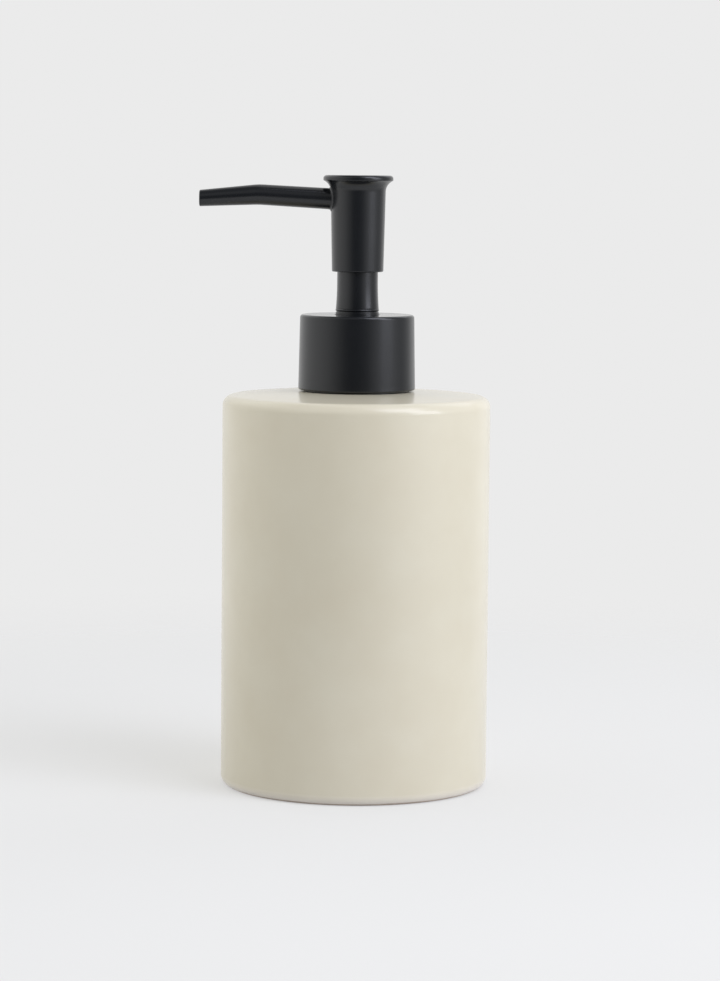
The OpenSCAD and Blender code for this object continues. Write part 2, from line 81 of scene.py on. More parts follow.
class Size:
    """Left end, outer radius, lowest and highest point of a node, in millimetres."""

    def __init__(self, node):
        low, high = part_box(node)
        self.left, self.r = low.x / MM, high.x / MM
        self.low, self.high = low.z / MM, high.z / MM


SIZE = {node: Size(node) for node in SLOT_OF}
for node, size in SIZE.items():
    print(f"{node}: radius {size.r:.2f}, from {size.low:.2f} to {size.high:.2f} mm")

# %% [markdown]
# Nearly every piece of a pump is turned about one axis, so its shape is an outline in
# the plane of radius and height. Moulded and glazed edges are never sharp. The outline
# is therefore given as corners with a rounding each, and an arc replaces each corner.

# %% Outlines with rounded corners
GUARD = 0.05
ARC_STEP = math.radians(9)


def outline(corners, closed=True):
    """Points of an outline with rounded corners.

    A corner is (r, z) or (r, z, rounding). With h as half the angle between the two
    sides, the arc starts and ends rounding / tan(h) from the corner, and its centre is
    rounding / sin(h) away on the bisector. A guard point stands just before and after
    each arc where there is room, which keeps the shading of the straight parts flat.
    """
    rounding = np.array([corner[2] if len(corner) > 2 else 0.0 for corner in corners])
    spot = np.array([corner[:2] for corner in corners], float)
    back = np.roll(spot, 1, axis=0) - spot
    ahead = np.roll(spot, -1, axis=0) - spot
    back_length = np.linalg.norm(back, axis=1)
    ahead_length = np.linalg.norm(ahead, axis=1)
    back = back / back_length[:, None]
    ahead = ahead / ahead_length[:, None]
    half = np.arccos(np.clip((back * ahead).sum(1), -1, 1)) / 2
    reach = np.where(rounding > 0, rounding / np.tan(np.maximum(half, 1e-3)), 0)
    free_back = back_length - reach - np.roll(reach, 1)
    free_ahead = ahead_length - reach - np.roll(reach, -1)
    path = []
    for k in range(len(spot)):
        if rounding[k] == 0 or (not closed and k in (0, len(spot) - 1)):
            path.append(spot[k][None])
            continue
        middle = back[k] + ahead[k]
        centre = spot[k] + middle / np.linalg.norm(middle) * rounding[k] / math.sin(half[k])
        start = spot[k] + back[k] * reach[k]
        end = spot[k] + ahead[k] * reach[k]
        a0 = math.atan2(*(start - centre)[::-1])
        a1 = math.atan2(*(end - centre)[::-1])
        sweep = (a1 - a0 + math.pi) % (2 * math.pi) - math.pi
        steps = max(3, math.ceil(abs(sweep) / ARC_STEP))
        if free_back[k] > 3 * GUARD:
            path.append((start + back[k] * GUARD)[None])
        path.append(arc(*centre, rounding[k], a0, a0 + sweep, steps))
        if free_ahead[k] > 3 * GUARD:
            path.append((end + ahead[k] * GUARD)[None])
    return np.concatenate(path)


def arc(r, z, radius, start, end, steps):
    """Points of an arc about (r, z) from the angle start to the angle end, in radians."""
    angle = np.linspace(start, end, steps + 1)
    return np.stack([r + radius * np.cos(angle), z + radius * np.sin(angle)], axis=1)


square = outline([(1, 0), (2, 0, 0.3), (2, 1), (1, 1)])
print("a square with one round corner:", len(square), "points")

# %% [markdown]
# A surface here is a grid of points. Its rows follow an outline and its columns go round
# an axis, so numpy can work out all the points at once. The same helper turns a grid
# into four-sided faces, whether or not the last row meets the first.

# %% Grids of points and their faces
AROUND = 192


def faces_of(grid, join=False):
    """A grid of points as (vertices, four-sided faces) between neighbouring points.

    The columns always meet again, and join is True where the last row meets the first.
    """
    rows, columns = grid.shape[:2]
    i = np.arange(rows if join else rows - 1)[:, None]
    j = np.arange(columns)[None, :]
    below, beside = (i + 1) % rows, (j + 1) % columns
    faces = np.stack(
        [i * columns + j, i * columns + beside, below * columns + beside, below * columns + j],
        axis=-1,
    )
    return grid.reshape(-1, 3), faces.reshape(-1, 4)


def full_turn(count):
    """Evenly spaced angles of one full turn, in radians."""
    return np.linspace(0, 2 * math.pi, count, endpoint=False)


def about_z(r, angle, z):
    """Points about the Z axis: x = r cos a, y = r sin a, z = z."""
    return np.stack([r * np.cos(angle), r * np.sin(angle), z + 0 * r * angle], axis=-1)


def turned_grid(profile, around=AROUND):
    """Grid of a profile of (r, z) carried round Z."""
    return about_z(profile[:, :1], full_turn(around), profile[:, 1:])


def turned(profile, join=True, around=AROUND):
    """Surface of revolution of a profile. join is False where both its ends are on the axis."""
    return faces_of(turned_grid(profile, around), join)


# %% [markdown]
# A mesh is made in one place only. Faces have to point outwards, and the sign of a
# closed shell's volume tells which way they point, so a shell that is inside out is
# turned round. Points that coincide on the axis are merged, which closes the poles, and
# edges sharper than 35 degrees keep a crisp shade.

# %% From shells to a finished piece
SHARP = math.radians(35)
MERGE = 1e-8


def outwards(shell):
    """The shell with its faces outwards: the volume is a third of the sum of p . (q x r)."""
    points, faces = shell
    p, q, r, s = (points[faces[:, k]] for k in range(4))
    volume = (p * np.cross(q, r)).sum() + (p * np.cross(r, s)).sum()
    return points, faces if volume > 0 else faces[:, ::-1]


def make_mesh(name, shells):
    """One object from several closed shells in millimetres, smooth but for sharp edges."""
    shells = [outwards(shell) for shell in shells]
    starts = np.cumsum([0] + [len(points) for points, _ in shells])
    points = np.concatenate([points for points, _ in shells]) * MM
    faces = np.concatenate([faces + start for (_, faces), start in zip(shells, starts)])
    mesh = bpy.data.meshes.new(name)
    mesh.from_pydata(points.tolist(), [], faces.tolist())
    tidy = bmesh.new()
    tidy.from_mesh(mesh)
    bmesh.ops.remove_doubles(tidy, verts=tidy.verts, dist=MERGE)
    tidy.to_mesh(mesh)
    tidy.free()
    mesh.shade_smooth()
    mesh.set_sharp_from_angle(angle=SHARP)
    made = bpy.data.objects.new(name, mesh)
    scene.collection.objects.link(made)
    return made


def piece(node, shells, finish):
    """A finished piece that stands for one node: it rides on that node's body."""
    made = make_mesh(node + "_surface", shells)
    made.data.materials.append(finish)
    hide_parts(node)
    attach(made, BODY_OF[node])
    print(f"{node}: {len(made.data.polygons)} faces, rides on {BODY_OF[node]}")
    return made


# %% [markdown]
# Finishes are node trees. Colours are written as the hex values that a painter would
# pick on a screen, and one function turns them to the linear values that light needs.
# One more function adds a node, sets it and links it, so that each material reads as a
# short recipe.

# %% Colours and nodes
def linear(hex_colour):
    """Linear RGBA of an sRGB hex colour: a straight toe, then ((c + 0.055) / 1.055) ^ 2.4."""
    value = np.array([int(hex_colour[k : k + 2], 16) for k in (1, 3, 5)]) / 255
    bent = np.where(value <= 0.04045, value / 12.92, ((value + 0.055) / 1.055) ** 2.4)
    return (*bent.tolist(), 1.0)


def add(tree, kind, sockets=None, **settings):
    """Add a shader node. sockets are values or links, and settings are its properties.

    Where a socket is given a whole node, that node's first output is linked to it.
    """
    made = tree.nodes.new("ShaderNode" + kind)
    for key, value in settings.items():
        setattr(made, key, value)
    for key, value in (sockets or {}).items():
        if isinstance(value, bpy.types.Node):
            value = value.outputs[0]
        if isinstance(value, bpy.types.NodeSocket):
            tree.links.new(value, made.inputs[key])
        else:
            made.inputs[key].default_value = value
    return made


def new_material(name, recipe):
    """A material whose surface is the last node that the recipe adds to the empty tree."""
    made = bpy.data.materials.new(name)
    made.use_nodes = True
    tree = made.node_tree
    tree.nodes.clear()
    add(tree, "OutputMaterial", {"Surface": recipe(tree)})
    return made


# %% [markdown]
# ## Glazed stoneware
# The bottle is slip-cast stoneware with a satin, magnesia-rich glaze. Such a glaze is
# opaque and a warm white, and its tiny crystals blur every reflection. It flows a little
# in the kiln, so its gloss varies over a few millimetres and it thins on sharp edges.
# The foot is wiped bare before firing, because glaze would stick to the shelf, and shows the
# drier, pinker clay. On the rounding just above it the glaze colour is painted paler, a painted
# lift that stands in for light bounced up from the floor. One material holds both, split by
# height with a wavy line.

# %% Satin glaze over bare clay
GLAZE_LINE = 0.5
GLAZE_WAVE = 0.5
GLAZE_EDGE = 0.25
# Height in mm below which the glaze colour gets a painted lift that stands in for light bounced
# up from the floor.
PAINTED_LIFT_FROM = 3.0
FLOW_WIDTH, CRYSTAL_WIDTH, GROG_WIDTH = 14, 0.9, 0.6
GLOSSIEST, DULLEST = 0.16, 0.21
NOISE_SPREAD = {"From Min": 0.3, "From Max": 0.7}


def satin_glaze(tree):
    """Opaque satin glaze, IOR 1.52, over clay that is bare below the glaze line."""
    place = add(tree, "TexCoord").outputs["Object"]
    height = add(tree, "SeparateXYZ", {0: place}).outputs["Z"]
    flow = add(
        tree, "TexNoise",
        {"Vector": place, "Scale": 1 / (FLOW_WIDTH * MM), "Detail": 3.0, "Roughness": 0.5},
    )
    crystals = add(
        tree, "TexNoise", {"Vector": place, "Scale": 1 / (CRYSTAL_WIDTH * MM), "Detail": 2.0}
    )
    tone = add(tree, "MapRange", {"Value": flow, **NOISE_SPREAD})
    colour = add(
        tree, "Mix", {0: tone, 6: linear("#E8E1CA"), 7: linear("#E5DDC5")}, data_type="RGBA"
    ).outputs[2]
    # Painted lift: the glaze is painted paler towards the foot, standing in for light bounced up
    # from the floor onto the rounding.
    painted_lift = add(
        tree, "MapRange",
        {"Value": height, "From Min": PAINTED_LIFT_FROM * MM, "From Max": GLAZE_LINE * MM},
    )
    colour = add(
        tree, "Mix", {0: painted_lift, 6: colour, 7: linear("#F7F0E4")}, data_type="RGBA"
    ).outputs[2]
    gloss = add(
        tree, "MapRange", {"Value": flow, **NOISE_SPREAD, "To Min": GLOSSIEST, "To Max": DULLEST}
    )
    glaze_skin = add(tree, "Bump", {"Height": crystals, "Strength": 0.05, "Distance": 0.02 * MM})
    glazed = add(
        tree, "BsdfPrincipled",
        {"Base Color": colour, "Roughness": gloss, "IOR": 1.52, "Normal": glaze_skin},
    )
    grog = add(tree, "TexNoise", {"Vector": place, "Scale": 1 / (GROG_WIDTH * MM), "Detail": 4.0})
    clay_colour = add(
        tree, "Mix", {0: grog, 6: linear("#CBB8A6"), 7: linear("#DCCBBB")}, data_type="RGBA"
    ).outputs[2]
    clay_skin = add(tree, "Bump", {"Height": grog, "Strength": 0.35, "Distance": 0.05 * MM})
    clay = add(
        tree, "BsdfPrincipled",
        {"Base Color": clay_colour, "Roughness": 0.85, "IOR": 1.5, "Normal": clay_skin},
    )
    wavy_line = add(
        tree, "Math",
        {0: flow, 1: GLAZE_WAVE * MM, 2: (GLAZE_LINE - GLAZE_WAVE / 2) * MM},
        operation="MULTIPLY_ADD",
    )
    above = add(tree, "Math", {0: height, 1: wavy_line}, operation="SUBTRACT")
    covered = add(tree, "MapRange", {"Value": above, "From Max": GLAZE_EDGE * MM})
    return add(tree, "MixShader", {0: covered, 1: clay, 2: glazed})


glaze = new_material("satin_glazed_stoneware", satin_glaze)
print("material:", glaze.name)

# %% [markdown]
# ## Moulded plastics
# The collar, the guide and the head are polypropylene, moulded in tools whose faces were
# spark-eroded. That leaves a fine, even grain that turns a reflection into a broad satin
# glow. The tops were polished instead, and their roundings catch crisp lines of light.
# The grain is far finer than a render shows, so it is drawn at a third of a millimetre
# and very shallow. Handling makes the gloss uneven over about a centimetre. The same
# recipe serves the other plastics and the rubber, with their own colour, gloss and
# clarity.

# %% Plastics, rubber and foam
WORN_WIDTH = 9
WORN_SPREAD = 0.02
SIDE_FACING, UP_FACING = 0.2, 0.7


def moulded(name, hex_colour, roughness, grain, depth, ior=1.49, clear=0.0, polish=0.0):
    """Moulded plastic with a grain of the given width and depth in millimetres.

    clear is the share of light that passes through, as in unpigmented polypropylene, and
    polish is how much smoother the faces are that look up.
    """
    def recipe(tree):
        surface = add(tree, "TexCoord")
        place = surface.outputs["Object"]
        facing = add(tree, "SeparateXYZ", {0: surface.outputs["Normal"]})
        smoother = add(tree, "MapRange", {
            "Value": facing.outputs["Z"], "From Min": SIDE_FACING, "From Max": UP_FACING,
            "To Max": polish,
        })
        sparks = add(
            tree, "TexNoise", {"Vector": place, "Scale": 1 / (grain * MM), "Detail": 1.5}
        )
        worn = add(
            tree, "TexNoise", {"Vector": place, "Scale": 1 / (WORN_WIDTH * MM), "Detail": 2.0}
        )
        gloss = add(tree, "MapRange", {
            "Value": worn, **NOISE_SPREAD, "To Min": roughness - WORN_SPREAD,
            "To Max": roughness + WORN_SPREAD,
        })
        gloss = add(tree, "Math", {0: gloss, 1: smoother}, operation="SUBTRACT")
        skin = add(tree, "Bump", {"Height": sparks, "Strength": 0.2, "Distance": depth * MM})
        return add(tree, "BsdfPrincipled", {
            "Base Color": linear(hex_colour), "Roughness": gloss, "IOR": ior,
            "Transmission Weight": clear, "Normal": skin,
        })

    return new_material(name, recipe)


black_shell = moulded(
    "spark_eroded_black_polypropylene", "#181A1D", 0.24, 0.35, 0.01, polish=0.12
)
black_insert = moulded("plain_black_polypropylene", "#1C1C1C", 0.30, 0.5, 0.006)
housing_plastic = moulded("natural_polypropylene", "#E9EAE4", 0.32, 0.8, 0.005, clear=0.35)
natural_plastic = moulded("natural_acetal", "#ECEBE4", 0.34, 0.6, 0.005)
piston_plastic = moulded("soft_white_polyethylene", "#F1F0EA", 0.42, 0.6, 0.006, ior=1.51)
tube_plastic = moulded("clear_polyethylene", "#EEF1F0", 0.22, 1.2, 0.004, ior=1.51, clear=0.7)
seal_rubber = moulded("grey_nitrile_rubber", "#45464A", 0.62, 0.25, 0.012, ior=1.52)
gasket_foam = moulded("foamed_polyethylene", "#EDEBE2", 0.7, 0.3, 0.03)
print("plastics:", black_shell.name, housing_plastic.name, tube_plastic.name)

# %% [markdown]
# The spring is drawn stainless wire and the ball is a ground and lapped bearing ball.
# Drawing leaves faint lines on the wire, lapping leaves a mirror. Both are metals, so
# they keep the default index, and their tone and roughness differ.

# %% Stainless wire and ball
SCRATCH_SPREAD = 0.3


def stainless(name, hex_colour, roughness, scratch):
    """Stainless steel with scratches of the given spacing in millimetres."""
    def recipe(tree):
        place = add(tree, "TexCoord").outputs["Object"]
        lines = add(
            tree, "TexNoise", {"Vector": place, "Scale": 1 / (scratch * MM), "Detail": 2.0}
        )
        gloss = add(tree, "MapRange", {
            "Value": lines, "To Min": roughness * (1 - SCRATCH_SPREAD),
            "To Max": roughness * (1 + SCRATCH_SPREAD),
        })
        return add(
            tree, "BsdfPrincipled",
            {"Base Color": linear(hex_colour), "Metallic": 1.0, "Roughness": gloss},
        )

    return new_material(name, recipe)


spring_steel = stainless("drawn_stainless_wire", "#C9CBCD", 0.28, 0.3)
ball_steel = stainless("lapped_stainless_ball", "#D3D6D8", 0.10, 1.0)
print("metals:", spring_steel.name, ball_steel.name)

# %% [markdown]
# ## The bottle
# The wall is cast at an even thickness, the top is gently domed so that it doesn't sag in
# the kiln, and the rim and the foot are rounded so that the glaze doesn't crawl off them.
# The outside, the mouth, the inside and the hollow foot are one closed outline, turned
# once. The dome is a parabola that falls away from the flat ring round the mouth.

# %% The bottle
body = SIZE["bottle"]
WALL = 4.5
SHOULDER = 5.5
CROWN = 1.2
RIM_ROUND = 3.0
FOOT_ROUND = 2.5
FOOT_RING = 5.0
FOOT_RECESS = 1.2
FLOOR_Z = 6.0
UNDER_FLAT = 2.0
INNER_ROUND = 4.0
MOUTH_R = 13.2
LAND_R = 15.8


def dome_height(r):
    """Height of the top at radius r: the crown's height falls off with r squared."""
    run = body.r - RIM_ROUND
    return body.high - CROWN * (r**2 - LAND_R**2) / (run**2 - LAND_R**2)


def bottle_outline():
    """Closed outline of the bottle, from the middle of its foot to its inner floor."""
    run = body.r - RIM_ROUND
    slope = 2 * CROWN * run / (run**2 - LAND_R**2)
    start = run + RIM_ROUND * math.sin(math.atan(slope))
    rim_corner = dome_height(start) - slope * (body.r - start)
    ring_r = body.r - FOOT_ROUND - FOOT_RING
    foot = outline([
        (0, FOOT_RECESS), (ring_r - FOOT_RECESS, FOOT_RECESS, 0.6),
        (ring_r, body.low, 0.5), (body.r, body.low, FOOT_ROUND),
        (body.r, rim_corner, RIM_ROUND), (start - 1, dome_height(start - 1)),
    ], closed=False)[:-1]
    r = np.linspace(start - 0.2, LAND_R, 26)
    dome = np.stack([r, dome_height(r)], axis=1)
    under = body.high - SHOULDER
    inside = outline([
        (LAND_R, body.high), (MOUTH_R, body.high, 0.6), (MOUTH_R, under, 0.8),
        (MOUTH_R + UNDER_FLAT, under, 0.5), (body.r - WALL, under - CROWN, INNER_ROUND),
        (body.r - WALL, FLOOR_Z, INNER_ROUND), (0, FLOOR_Z),
    ], closed=False)[1:]
    return np.concatenate([foot, dome, inside])


piece("bottle", [turned(bottle_outline(), join=False, around=320)], glaze)

# %% [markdown]
# ## The threaded neck
# A ceramic mouth can't be cast with a clean thread, so a moulded neck is pressed into it
# with a finned rubber sleeve. The thread is a rounded ridge: a small closed profile
# carried along a helix, whose height fades in and out as on a moulded thread. The cap has
# such a ridge turned inwards, half a pitch away, so the two slide past each other as the
# cap turns.

# %% A helical ridge
PITCH = 2 * math.pi / record["behaviour"]["couplings"][0]["ratio"] / MM
THREAD_H = 1.25
THREAD_ROOT = 0.25
THREAD_FADE = 0.125


def thread(base_r, outward, z_start, turns, width, steps=260):
    """A ridge on a helix: r = base + outward * height, z = start + pitch * turns.

    The profile is a rounded bump, 1 - v^4, over its width. The height fades in and out
    over an eighth of a turn with a smoothstep.
    """
    u = np.linspace(0, 1, steps)[:, None]
    fade = np.clip(np.minimum(u, 1 - u) * turns / THREAD_FADE, 0, 1)
    fade = fade**2 * (3 - 2 * fade)
    v = np.linspace(-1, 1, 17)[None, :]
    bump = (1 - v**4) * THREAD_H * fade
    crest = np.concatenate([bump, np.full((steps, 2), -THREAD_ROOT)], axis=1)
    along = np.concatenate([v, [[1, -1]]], axis=1) * width / 2
    r = base_r + outward * crest
    angle = 2 * math.pi * turns * u
    z = z_start + PITCH * turns * u + along
    grid = about_z(r, angle, z)
    first, last = (
        np.repeat(end.mean(axis=1, keepdims=True), grid.shape[1], axis=1)
        for end in (grid[:1], grid[-1:])
    )
    return faces_of(np.concatenate([first, grid, last]))


print(f"pitch of the thread: {PITCH:.2f} mm")

# %% The neck, its rubber sleeve and the gasket
neck = SIZE["neck_insert"]
FLANGE_T = 1.2
NECK_R = 12.45
NECK_BORE = 10.2
SPIGOT_R = 12.0
BARB = 0.5
NECK_TURNS, NECK_RIDGE = 1.6, 2.3
flange_top = body.high + FLANGE_T
thread_z = flange_top + 4.2
neck_outline = outline([
    (NECK_BORE, neck.low, 0.2), (SPIGOT_R, neck.low, 0.15),
    (SPIGOT_R + BARB, neck.low + BARB, 0.2), (SPIGOT_R + BARB, neck.low + 2 * BARB, 0.1),
    (SPIGOT_R, neck.low + 2 * BARB), (SPIGOT_R, body.high), (neck.r, body.high, 0.15),
    (neck.r, flange_top, 0.3), (NECK_R, flange_top, 0.3), (NECK_R, neck.high, 0.4),
    (NECK_BORE, neck.high, 0.25),
])
piece("neck_insert", [
    turned(neck_outline), thread(NECK_R, 1, thread_z, NECK_TURNS, NECK_RIDGE),
], black_insert)


def seal_outline():
    """Sleeve with three fins: each fin slopes out over about two thirds of its height."""
    seal = SIZE["insert_seal"]
    fins, fin_h, fin_slope, fin_out = 3, 1.1, 0.65, 0.4
    bore, sleeve = SPIGOT_R + 0.02, seal.r - fin_out
    pitch = (seal.high - seal.low - fin_h) / (fins - 1)
    corners = [(bore, seal.low, 0.05)]
    for k in range(fins):
        z = seal.low + k * pitch
        tip = z + fin_slope * fin_h
        corners += [(sleeve, z, 0.1), (seal.r, tip, 0.15), (seal.r, z + fin_h, 0.1)]
        if k < fins - 1:
            corners.append((sleeve, z + fin_h, 0.1))
    return outline(corners + [(bore, seal.high, 0.05)])


piece("insert_seal", [turned(seal_outline())], seal_rubber)

gasket = SIZE["neck_gasket"]
GASKET_BORE = 8.55
piece("neck_gasket", [turned(outline([
    (GASKET_BORE, gasket.low, 0.1), (gasket.r, gasket.low, 0.15),
    (gasket.r, gasket.high, 0.15), (GASKET_BORE, gasket.high, 0.1),
]))], gasket_foam)

# %% [markdown]
# ## The collar and its cap
# A pump of this kind has a plain shell over a threaded cap, so that the screw shows
# nowhere. The shell leans in slightly towards the top, as a moulding must to leave its
# tool, with a small rounding below and a larger one above. Fine flutes on the cap's
# skirt key it to the shell. They are made by pulling its points in, in time with the
# angle.

# %% The collar
collar = SIZE["collar"]
COLLAR_BORE = 15.1
COLLAR_TAPER = 0.41
COLLAR_TOP_T = 1.3
COLLAR_HOLE = 6.39
collar_ceiling = collar.high - COLLAR_TOP_T
piece("collar", [turned(outline([
    (COLLAR_BORE, collar.low, 0.15), (collar.r, collar.low, 0.5),
    (collar.r - COLLAR_TAPER, collar.high, 0.8), (COLLAR_HOLE, collar.high, 0.15),
    (COLLAR_HOLE, collar_ceiling, 0.1), (COLLAR_BORE, collar_ceiling, 0.3),
]), around=256)], black_shell)

# %% The threaded cap
cap = SIZE["threaded_cap"]
CAP_BORE = 13.95
CAP_HOLE = 9.39
CAP_TOP_T = 1.3
FLUTES = 24
FLUTE_DEPTH = 0.25
FLUTE_SHARPNESS = 6
FLUTE_END = 2.0
FLUTE_FADE = 0.6
CAP_TURNS, CAP_RIDGE = 1.5, 1.5


def fluted_cap():
    """Cap whose skirt has flutes: r is reduced by depth * max(0, cos(flutes * a)) ^ 6.

    The skirt's straight side gets rows of its own, so that the flutes can fade out.
    """
    profile = outline([
        (CAP_BORE, cap.low, 0.2), (cap.r, cap.low, 0.2), (cap.r, cap.high, 0.2),
        (CAP_HOLE, cap.high, 0.15), (CAP_HOLE, cap.high - CAP_TOP_T, 0.1),
        (CAP_BORE, cap.high - CAP_TOP_T, 0.3),
    ])
    rows = np.linspace(cap.low + 1, cap.high - 1, 12)
    low_end = np.flatnonzero(np.isclose(profile[:, 0], cap.r, atol=1e-6))[0]
    profile = np.insert(profile, low_end + 1, np.stack([0 * rows + cap.r, rows], 1), axis=0)
    grid = turned_grid(profile, around=384)
    angle = np.arctan2(grid[..., 1], grid[..., 0])
    fade = np.clip((cap.high - FLUTE_END - grid[..., 2]) / FLUTE_FADE, 0, 1)
    on_skirt = np.hypot(grid[..., 0], grid[..., 1]) > cap.r - 0.3
    wave = np.maximum(0, np.cos(FLUTES * angle)) ** FLUTE_SHARPNESS
    pull = FLUTE_DEPTH * wave * fade * on_skirt
    grid[..., :2] *= (1 - pull / cap.r)[..., None]
    return faces_of(grid, join=True)


piece("threaded_cap", [
    fluted_cap(), thread(CAP_BORE, -1, thread_z - PITCH / 2, CAP_TURNS, CAP_RIDGE),
], black_insert)

# %% [markdown]
# ## The pump housing
# Everything below the neck is one moulding of natural polypropylene: a flange on the
# gasket, a cup for the guide, the chamber, the seat of the inlet valve and the nozzle
# that grips the dip tube. Four gussets stiffen the step between chamber and nozzle. A
# small hole below the flange lets air in as soap goes out. It is cut with a Boolean
# modifier, because a round hole across a round wall has no simple formula.

# %% Small solids that are not turned
def swung(x, y, z, turn):
    """Points turned about Z: x cos t - y sin t, x sin t + y cos t."""
    c, s = math.cos(turn), math.sin(turn)
    return np.stack([x * c - y * s, x * s + y * c, z], axis=-1)


def slab(x0, x1, half_y, z0, z1, turn):
    """A flat bar from x0 to x1, 2 * half_y thick, from z0 to z1, turned about Z."""
    grid = np.meshgrid([x0, x1], [-half_y, half_y], [z0, z1], indexing="ij")
    points = swung(*grid, turn).reshape(-1, 3)
    faces = [[0, 1, 3, 2], [4, 6, 7, 5], [0, 4, 5, 1], [2, 3, 7, 6], [0, 2, 6, 4], [1, 5, 7, 3]]
    return points, np.array(faces)


def cross(reach, half_y, z0, z1):
    """Two flat bars that cross on the axis."""
    return [slab(-reach, reach, half_y, z0, z1, turn) for turn in (0.0, math.pi / 2)]


def rod(radius, x0, x1, z, around=32):
    """A round rod along X at height z, closed at both ends."""
    angle = full_turn(around)
    r = radius * np.array([0, 1, 1, 0])[:, None]
    x = np.array([x0, x0, x1, x1])[:, None] + 0 * angle
    grid = np.stack([x, r * np.cos(angle), z + r * np.sin(angle)], axis=-1)
    return faces_of(grid)


def cut_away(made, shells):
    """Cut closed shells out of a piece with an exact Boolean, and keep the result."""
    cutter = make_mesh(made.name + "_cutter", shells)
    step = made.modifiers.new("cut", "BOOLEAN")
    step.operation = "DIFFERENCE"
    step.solver = "EXACT"
    step.object = cutter
    solved = made.evaluated_get(bpy.context.evaluated_depsgraph_get())
    made.data = bpy.data.meshes.new_from_object(solved)
    made.data.set_sharp_from_angle(angle=SHARP)
    made.modifiers.remove(step)
    bpy.data.objects.remove(cutter)


# %% The housing
shell = SIZE["housing"]
DECK_T = 1.3
CHAMBER_R = 6.0
CUP_BORE = 7.3
HOUSING_T = 1.0
NOZZLE_BORE = 3.02
NOZZLE_R = 4.27
CAGE_R = 4.42
BALL_BORE = 2.9
INLET_R = 1.3
INLET_LAND = 2.0
STEP_H = 2.0
CUP_ROOM, SPRING_GAP, SEAT_GAP = 1.0, 0.05, 0.03
cup_r = CUP_BORE + HOUSING_T + 0.1
chamber_r = CHAMBER_R + HOUSING_T
under_deck = shell.high - DECK_T
cup_low = SIZE["guide"].low - CUP_ROOM
chamber_low = SIZE["spring"].low - SPRING_GAP
cage_low = SIZE["ball_cage"].low
ball = SIZE["inlet_ball"]
inlet_top = ball.low + ball.r - ball.r * math.sqrt(2) + INLET_R - SEAT_GAP
nozzle_top = inlet_top - INLET_LAND
housing_outline = outline([
    (NOZZLE_BORE, shell.low, 0.15), (NOZZLE_R - 0.2, shell.low, 0.3), (NOZZLE_R, inlet_top, 0.8),
    (chamber_r, chamber_low - STEP_H, 1.2), (chamber_r, cup_low - STEP_H, 0.8),
    (cup_r, cup_low, 0.8), (cup_r, under_deck, 0.1), (shell.r, under_deck, 0.2),
    (shell.r, shell.high, 0.25), (CUP_BORE, shell.high, 0.2),
    (CUP_BORE, cup_low + 0.7, 0.3), (CHAMBER_R, cup_low, 0.3), (CHAMBER_R, chamber_low, 0.3),
    (CAGE_R, chamber_low, 0.1), (CAGE_R, cage_low, 0.05), (BALL_BORE, cage_low, 0.1),
    (BALL_BORE, inlet_top + BALL_BORE - INLET_R, 0.3), (INLET_R, inlet_top, 0.1),
    (INLET_R, nozzle_top, 0.1), (NOZZLE_BORE, nozzle_top, 0.05),
])

# %% The gussets and the vent
GUSSET_DROP = 9.0
GUSSET_T = 1.0
VENT_R = 0.45
VENT_DROP = 4.4
corner_turns = np.radians([45, 135, 225, 315])


def gusset(turn):
    """A slim fin between the nozzle and the step above it, turned about Z."""
    low, high, inner = inlet_top - GUSSET_DROP, chamber_low - STEP_H, NOZZLE_R - 0.8
    x = np.array([inner, NOZZLE_R, chamber_r - 0.2, inner])
    z = np.array([low, low, high, high])
    y = np.array([-GUSSET_T / 2, GUSSET_T / 2])[:, None]
    points, faces = faces_of(swung(x, y, z + 0 * y, turn))
    return points, np.concatenate([faces, [[3, 2, 1, 0], [4, 5, 6, 7]]])


housing = piece("housing", [
    turned(housing_outline), *[gusset(turn) for turn in corner_turns],
], housing_plastic)
cut_away(housing, [rod(VENT_R, CHAMBER_R - 1, cup_r + 1.6, under_deck - VENT_DROP)])

# %% [markdown]
# ## The guide
# The guide is a plug in the housing with a tube that stands up through the collar. The
# head slides round that tube, which hides the stem. Its side spreads towards the foot,
# where a fine bead runs above a groove. The spread is a parabola from the straight part.

# %% The guide
guide = SIZE["guide"]
deck = shell.high
PLUG_R = 7.28
PLUG_BORE = 6.23
GUIDE_TOP_R = 5.70
GUIDE_FLARE = 0.29
GUIDE_BEAD = 0.10
GUIDE_FLANGE_T = 1.0
BEAD_H, BEAD_PROUD = 0.7, 0.05
GROOVE_W = 0.2
GROOVE_DEPTH = 0.2
STEM_HOLE = 2.98
TUBE_BORE = 4.42
WEB_DROP = 1.3
WEB_TOP, CONE_TOP = 3.5, 4.3
SPREAD_H = 7.3
BEAD_LIFT = 0.95
bead_low = collar.high + BEAD_LIFT
flange_z = deck + GUIDE_FLANGE_T


